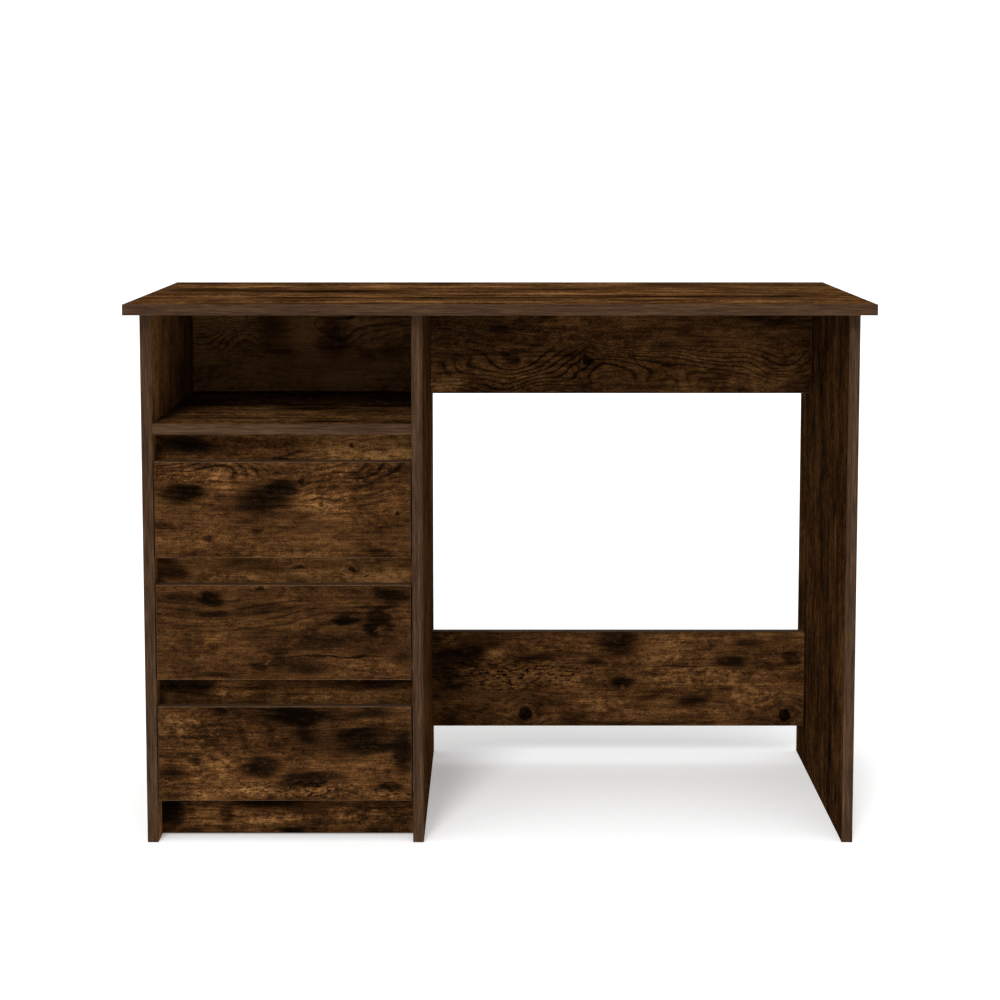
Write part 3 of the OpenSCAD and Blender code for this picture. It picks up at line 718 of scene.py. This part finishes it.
MIDDLE_FRONT_MARKS = (
    ("knot", 0.20, 0.12, 0.022, 0.065, 0, 0.7),
    ("dark", 0.21, 0.14, 0.045, 0.08, 0, 0.8),
    ("dark", 0.40, 0.05, 0.020, 0.03, 0, 1.0),
    ("dark", 0.24, 0.31, 0.07, 0.025, 0, 0.6),
    ("dark", 0.08, 0.43, 0.05, 0.06, 0, 0.5),
    ("dark", 0.74, 0.37, 0.045, 0.05, 0, 1.1),
    ("dark", 0.87, 0.41, 0.055, 0.13, 0, 1.7),
    ("light", 0.885, 0.47, 0.020, 0.050, 0, 3.0),
    ("dark", 0.87, 0.22, 0.07, 0.025, 0, 0.9),
    ("dark", 0.72, 0.755, 0.20, 0.012, 0, 0.9),
    ("dark", 0.57, 0.86, 0.12, 0.10, 0, 0.8),
    ("dark", 0.40, 0.86, 0.035, 0.04, 0, 1.1),
    ("light", 0.435, 0.83, 0.012, 0.04, 0, 1.0),
    ("dark", 0.24, 0.95, 0.12, 0.04, 0, 0.8),
    ("dark", 0.97, 0.78, 0.05, 0.16, 0, 0.6),
    ("light", 0.55, 0.30, 0.20, 0.10, 0, 0.25),
    ("light", 0.40, 0.55, 0.25, 0.10, 0, 0.25),
    ("light", 0.82, 0.90, 0.16, 0.06, 0, 0.4),
    ("dark", 0.86, 0.12, 0.16, 0.10, 0, 0.3),
)
LOWER_FRONT_MARKS = (
    ("light", 0.15, 0.22, 0.18, 0.18, 0, 0.55),
    ("light", 0.22, 0.60, 0.18, 0.16, 0, 0.45),
    ("dark", 0.40, 0.64, 0.08, 0.11, -10, 1.4),
    ("dark", 0.60, 0.10, 0.18, 0.09, 0, 0.8),
    ("dark", 0.85, 0.06, 0.10, 0.07, 0, 0.8),
    ("dark", 0.25, 0.05, 0.03, 0.06, 0, 0.9),
    ("dark", 0.57, 0.25, 0.07, 0.14, 0, 0.6),
    ("dark", 0.97, 0.50, 0.045, 0.22, 0, 1.2),
    ("dark", 0.62, 0.76, 0.12, 0.08, 0, 1.1),
    ("dark", 0.06, 0.70, 0.06, 0.10, 0, 0.8),
    ("dark", 0.92, 0.83, 0.05, 0.04, 0, 1.0),
    ("dark", 0.74, 0.40, 0.20, 0.16, 0, 0.65),
    ("crackle", 0.52, 0.89, 0.30, 0.10, 0, 0.9),
    ("crackle", 0.92, 0.92, 0.08, 0.06, 0, 1.0),
    ("crackle", 0.06, 0.80, 0.10, 0.06, 0, 0.6),
    ("light", 0.50, 0.90, 0.34, 0.07, 0, 0.8),
    ("light", 0.92, 0.93, 0.08, 0.05, 0, 0.8),
)
STRETCHER_MARKS = (
    ("knot", 0.25, 0.87, 0.034, 0.14, 0, 0.9),
    ("knot", 0.95, 0.89, 0.028, 0.12, 0, 1.2),
    ("dark", 0.80, 0.31, 0.055, 0.08, 0, 1.2),
    ("dark", 0.965, 0.28, 0.030, 0.09, 0, 1.1),
    ("dark", 0.85, 0.13, 0.05, 0.07, 0, 0.8),
    ("dark", 0.50, 0.10, 0.060, 0.16, 0, 1.2),
    ("dark", 0.44, 0.32, 0.035, 0.05, 0, 1.0),
    ("dark", 0.51, 0.55, 0.035, 0.09, 0, 1.2),
    ("light", 0.515, 0.60, 0.010, 0.03, 0, 1.3),
    ("dark", 0.70, 0.73, 0.045, 0.07, -10, 1.0),
    ("dark", 0.79, 0.59, 0.030, 0.04, 0, 0.9),
    ("dark", 0.11, 0.17, 0.055, 0.10, 0, 0.7),
    ("dark", 0.03, 0.48, 0.05, 0.10, 0, 0.6),
    ("light", 0.05, 0.10, 0.04, 0.08, 0, 0.5),
    ("dark", 0.27, 0.28, 0.08, 0.06, -4, 0.9),
    ("crackle", 0.22, 0.46, 0.22, 0.16, 0, 1.3),
    ("dark", 0.20, 0.62, 0.20, 0.12, 0, 0.30),
    ("dark", 0.67, 0.37, 0.09, 0.014, 0, 0.9),
    ("light", 0.62, 0.22, 0.08, 0.16, 0, 0.7),
    ("light", 0.16, 0.26, 0.05, 0.06, 0, 0.8),
    ("light", 0.75, 0.48, 0.20, 0.12, 0, 0.7),
    ("light", 0.88, 0.70, 0.10, 0.12, 0, 0.6),
    ("light", 0.50, 0.78, 0.16, 0.08, 0, 0.4),
    ("dark", 0.52, 0.97, 0.30, 0.03, 0, 0.8),
)
MODESTY_MARKS = (
    ("loops", 0.20, 0.84, 0.24, 0.26, 0, 1.4),
    ("loops", 0.66, 0.68, 0.45, 0.20, 0, 1.3),
    ("light", 0.045, 0.92, 0.05, 0.12, 0, 1.0),
    ("light", 0.25, 0.90, 0.10, 0.10, 0, 0.5),
    ("light", 0.80, 0.95, 0.16, 0.08, 0, 0.5),
    ("knot", 0.41, 0.66, 0.018, 0.10, 0, 1.0),
    ("knot", 0.46, 0.12, 0.020, 0.10, 0, 0.7),
    ("dark", 0.30, 0.18, 0.03, 0.06, 0, 0.7),
    ("dark", 0.75, 0.25, 0.30, 0.20, 0, 0.3),
    ("dark", 0.10, 0.14, 0.08, 0.10, 0, 0.5),
)
BACK_PANEL_MARKS = (
    ("loops", 0.14, 0.08, 0.18, 0.06, 0, 1.4),
    ("loops", 0.74, 0.06, 0.22, 0.06, 0, 1.5),
    ("light", 0.20, 0.08, 0.20, 0.05, 0, 0.5),
    ("light", 0.78, 0.08, 0.20, 0.05, 0, 0.5),
    ("dark", 0.35, 0.07, 0.10, 0.05, 0, 1.0),
    ("dark", 0.62, 0.09, 0.08, 0.05, 0, 1.1),
    ("dark", 0.50, 0.16, 0.30, 0.05, 0, 0.5),
)
SHELF_RAIL_MARKS = (
    ("dark", 0.07, 0.34, 0.08, 0.30, 0, 0.8),
    ("dark", 0.20, 0.45, 0.08, 0.26, 0, 0.6),
    ("dark", 0.52, 0.66, 0.07, 0.06, -14, 1.0),
    ("dark", 0.49, 0.82, 0.05, 0.05, 0, 1.0),
    ("knot", 0.76, 0.42, 0.016, 0.12, 0, 0.9),
    ("light", 0.80, 0.78, 0.24, 0.20, 0, 0.6),
    ("light", 0.30, 0.80, 0.14, 0.14, 0, 0.4),
)
UPPER_RAIL_MARKS = (
    ("dark", 0.06, 0.62, 0.07, 0.24, 0, 1.1),
    ("dark", 0.03, 0.20, 0.05, 0.20, 0, 0.8),
    ("dark", 0.55, 0.15, 0.03, 0.06, 0, 1.0),
    ("dark", 0.55, 0.45, 0.04, 0.06, 0, 1.0),
    ("knot", 0.76, 0.52, 0.022, 0.16, 0, 1.2),
    ("dark", 0.82, 0.72, 0.006, 0.05, 0, 1.2),
    ("light", 0.36, 0.74, 0.20, 0.16, 0, 0.7),
    ("light", 0.84, 0.80, 0.18, 0.20, 0, 0.6),
)
LOWER_RAIL_MARKS = (
    ("dark", 0.80, 0.20, 0.24, 0.28, 0, 1.0),
    ("dark", 0.12, 0.35, 0.10, 0.26, 0, 0.8),
    ("light", 0.24, 0.62, 0.03, 0.18, 0, 0.9),
    ("light", 0.42, 0.72, 0.18, 0.20, 0, 0.4),
    ("dark", 0.40, 0.25, 0.14, 0.10, 0, 0.5),
)
PLINTH_MARKS = (
    ("dark", 0.04, 0.45, 0.05, 0.55, 0, 1.2),
    ("dark", 0.40, 0.22, 0.13, 0.20, 0, 1.1),
    ("dark", 0.26, 0.55, 0.03, 0.20, 0, 0.8),
    ("dark", 0.80, 0.10, 0.24, 0.12, 0, 0.8),
    ("light", 0.45, 0.68, 0.12, 0.12, -6, 0.9),
    ("light", 0.74, 0.55, 0.24, 0.24, 0, 0.6),
    ("dark", 0.52, 0.92, 0.05, 0.08, 0, 0.8),
)
SHELF_MARKS = (
    # painted light: this wide light mark lightens the shaded back of the shelf, under the desktop
    ("light", 0.50, 0.20, 0.80, 0.24, 0, 0.8),
    ("dark", 0.58, 0.56, 0.16, 0.05, 0, 1.0),
    ("dark", 0.86, 0.50, 0.12, 0.04, 0, 0.8),
    ("light", 0.80, 0.80, 0.28, 0.06, 0, 1.0),
    ("light", 0.34, 0.72, 0.30, 0.05, 0, 0.6),
    ("dark", 0.30, 0.84, 0.16, 0.025, 0, 0.9),
    ("dark", 0.70, 0.92, 0.14, 0.02, 0, 0.8),
    ("knot", 0.81, 0.87, 0.020, 0.022, 0, 1.2),
)
DESKTOP_MARKS = (
    ("light", 0.40, 0.22, 0.20, 0.08, 0, 0.7),
    ("light", 0.62, 0.55, 0.22, 0.07, 0, 0.7),
    ("light", 0.14, 0.66, 0.14, 0.08, 0, 0.6),
    ("light", 0.12, 0.22, 0.12, 0.07, 0, 0.7),
    ("light", 0.88, 0.35, 0.12, 0.06, 0, 0.6),
    ("light", 0.45, 0.90, 0.30, 0.05, 0, 0.9),
    ("light", 0.85, 0.88, 0.14, 0.04, 0, 0.7),
    ("dark", 0.26, 0.44, 0.13, 0.055, 0, 1.2),
    ("dark", 0.22, 0.72, 0.10, 0.030, 0, 1.0),
    ("dark", 0.50, 0.74, 0.18, 0.040, 0, 0.9),
    ("dark", 0.76, 0.68, 0.16, 0.045, 0, 1.0),
    ("dark", 0.58, 0.36, 0.12, 0.040, 0, 0.9),
    ("dark", 0.08, 0.42, 0.08, 0.040, 0, 0.8),
    ("dark", 0.80, 0.14, 0.12, 0.040, 0, 0.7),
)


def print_of(node, seed, seen, **settings):
    return oak_material("oak_" + node, Face(node, **seen), seed, **settings)


def build_desktop():
    oak = print_of("desktop", 1.3, SEEN_FROM_ABOVE, tone=0.06, contrast=1.3, marks=DESKTOP_MARKS)
    build_board("desktop", "carcass", Z, oak, ["front", "back", "left", "right"])


def build_uprights():
    """The three side panels. The shown side faces the open compartment or the knee space."""
    uprights = {  # seed, shown side, tone
        # the left panel's tone of 0.30 is painted light: it lightens its shown side, the shaded left
        # wall of the open compartment
        "left_side_panel": (11.7, (1, 0, 0), 0.30),
        "middle_side_panel": (16.7, (1, 0, 0), -0.02),
        "right_side_panel": (21.7, (-1, 0, 0), -0.10),
    }
    for node, (seed, shown, tone) in uprights.items():
        seen = {"along": (0, 0, -1), "across": (0, 1, 0), "shown": shown}
        build_board(node, "carcass", X, print_of(node, seed, seen, tone=tone), ["front", "back"])


def build_shelf():
    oak = print_of("compartment_shelf", 31.1, SEEN_FROM_ABOVE, tone=0.12, contrast=1.5,
                   marks=SHELF_MARKS)
    build_board("compartment_shelf", "carcass", Z, oak, ["front"])


def build_cross_boards():
    """The boards that stand across the desk between its side panels."""
    boards = {  # seed, tone, tone slope, marks, banded sides
        # the back panel's tone of 0.46 is painted light: it lightens the shaded back wall of the open
        # compartment
        "cabinet_back_panel": (37.2, 0.46, 0.0, BACK_PANEL_MARKS, ["bottom"]),
        "shelf_rail": (41.9, 0.16, 0.08, SHELF_RAIL_MARKS, ["bottom"]),
        "upper_drawer_rail": (47.3, 0.16, 0.08, UPPER_RAIL_MARKS, ["top", "bottom"]),
        "lower_drawer_rail": (53.8, 0.08, 0.0, LOWER_RAIL_MARKS, ["top", "bottom"]),
        "plinth": (59.4, 0.00, 0.10, PLINTH_MARKS, ["bottom"]),
        "modesty_panel": (67.6, 0.09, 0.0, MODESTY_MARKS, ["bottom"]),
        "stretcher_panel": (71.5, 0.00, 0.16, STRETCHER_MARKS, ["top", "bottom"]),
    }
    for node, (seed, tone, slope, marks, banded) in boards.items():
        oak = print_of(node, seed, SEEN_FROM_FRONT, tone=tone, tone_slope=slope, marks=marks)
        build_board(node, "carcass", Y, oak, banded)


def build_drawer_fronts():
    fronts = {  # seed, tone, contrast, marks
        "upper_drawer": (83.3, 0.01, 1.0, UPPER_FRONT_MARKS),
        "middle_drawer": (91.6, -0.05, 0.8, MIDDLE_FRONT_MARKS),
        "lower_drawer": (97.2, -0.03, 1.0, LOWER_FRONT_MARKS),
    }
    for drawer, (seed, tone, contrast, marks) in fronts.items():
        node = drawer + "_front"
        oak = print_of(node, seed, SEEN_FROM_FRONT, tone=tone, contrast=contrast, marks=marks)
        build_board(node, drawer, Y, oak, ["top", "bottom", "left", "right"])


# ---------------------------------------------------------------- CAD pieces that stay


def dress(node, material, rounding=0.0, segments=2):
    """Gives a CAD node a material, joins its split corners and rounds them."""
    piece = NODES[node]
    piece.data.materials.clear()
    piece.data.materials.append(material)
    weld = piece.modifiers.new("joined_corners", "WELD")
    weld.merge_threshold = WELD_REACH
    if rounding:
        round_corners(piece, rounding, segments)


def dress_fittings():
    """The CAD nodes whose shape is right: drawer boxes, runners, rollers and fasteners."""
    foil = drawer_foil_material()
    hardboard = hardboard_material()
    coated = coated_steel_material()
    zinc = zinc_material()
    nylon = moulded_material("natural_nylon", srgb(238, 237, 228), srgb(226, 224, 212), 0.42)
    brown = moulded_material("brown_plastic", srgb(58, 40, 29), srgb(48, 32, 22), 0.45)
    beech = beech_material()
    for drawer in DRAWERS:
        for part in ("left_side", "right_side", "back"):
            dress(f"{drawer}_{part}", foil, 0.0004)
        dress(f"{drawer}_bottom", hardboard, 0.0003)
        for part in ("left_cabinet_runner", "right_cabinet_runner", "left_runner", "right_runner"):
            dress(f"{drawer}_{part}", coated, 0.0002)
        for part in ("front_rollers", "rear_rollers"):
            dress(f"{drawer}_{part}", nylon, 0.0004, 3)
        for part in ("screws", "cam_locks", "cam_bolts"):
            dress(f"{drawer}_{part}", zinc, 0.0001)
    for node in ("cam_locks", "cam_bolts", "block_screws", "runner_screws"):
        dress(node, zinc, 0.0001)
    dress("corner_blocks", brown, 0.0005)
    dress("dowels", beech)


# ---------------------------------------------------------------- studio

FLOOR_REACH = 15.0  # from its middle to its sides
FLOOR_WHITE = 0.93
FLOOR_PAINTED_GLOW = 0.25  # painted light: the floor glows, though it is no lamp, and so lightens the desk's shadow on it
EYE = (0.0, -3.1429, 0.9655)  # gives the photograph's perspective
LOOK_DOWN = 5.549  # degrees
LENS = 77.05  # mm
SENSOR = 36.0  # mm
LENS_SHIFT = -0.14  # keeps the uprights nearly parallel; more would crop the turned views
ROOM_GREY = (0.58, 0.58, 0.58, 1.0)  # the room's light on the desk
ROOM_SEEN = (1.0, 1.0, 1.0, 1.0)  # the room as the camera sees it


def build_floor():
    """A white floor that takes a soft shadow, and glows a little as painted light that lightens that
    shadow.
    """
    shape = bmesh.new()
    bmesh.ops.create_grid(shape, x_segments=8, y_segments=8, size=FLOOR_REACH)
    material, g, shader = new_material("studio_floor", specular=0.0)
    place = g.node("ShaderNodeTexCoord").outputs["Object"]
    # painted light: an emission glow that lightens the shadow on the floor
    shader.inputs["Emission Color"].default_value = (1.0, 1.0, 1.0, 1.0)
    shader.inputs["Emission Strength"].default_value = FLOOR_PAINTED_GLOW
    shade = g.total(FLOOR_WHITE, g.swing(g.noise(place, (3, 3, 3), 2), 0.01))
    g.put(shader.inputs["Base Color"], g.join(shade, shade, shade))
    g.put(shader.inputs["Roughness"], 0.95)
    object_from("studio_floor", shape, [material])


def sun(name, azimuth, elevation, softness, strength):
    """A distant soft light from azimuth (0 is the front, 90 the right) and elevation, in degrees."""
    light = bpy.data.lights.new(name, "SUN")
    light.energy = strength * math.pi
    light.angle = math.radians(softness)
    lamp = bpy.data.objects.new(name, light)
    lamp.rotation_euler = (math.radians(90 - elevation), 0.0, math.radians(azimuth))
    bpy.context.scene.collection.objects.link(lamp)


def build_light():
    """A soft key from the front above, a wide overhead light, and a grey room that looks white."""
    sun("key", azimuth=-12.0, elevation=32.0, softness=14.0, strength=0.50)
    sun("overhead", azimuth=0.0, elevation=78.0, softness=50.0, strength=0.32)
    world = bpy.data.worlds.new("studio_world")
    world.use_nodes = True
    bpy.context.scene.world = world
    g = Graph(world.node_tree)
    background = world.node_tree.nodes["Background"]
    seen = g.node("ShaderNodeLightPath").outputs["Is Camera Ray"]
    g.put(background.inputs["Color"], g.mix(seen, ROOM_GREY, ROOM_SEEN))
    scene = bpy.context.scene
    scene.view_settings.view_transform = "Standard"
    scene.view_settings.look = "None"


def build_camera():
    """Looks straight at the desk's front from a little above it, as the photograph does."""
    data = bpy.data.cameras.new("camera")
    data.sensor_width = SENSOR
    data.lens = LENS
    data.shift_y = LENS_SHIFT
    camera = bpy.data.objects.new("camera", data)
    camera.location = EYE
    camera.rotation_euler = (math.radians(90 - LOOK_DOWN), 0.0, 0.0)
    bpy.context.scene.collection.objects.link(camera)
    bpy.context.scene.camera = camera


build_camera()
build_light()
build_floor()
build_desktop()
build_uprights()
build_shelf()
build_cross_boards()
build_drawer_fronts()
dress_fittings()
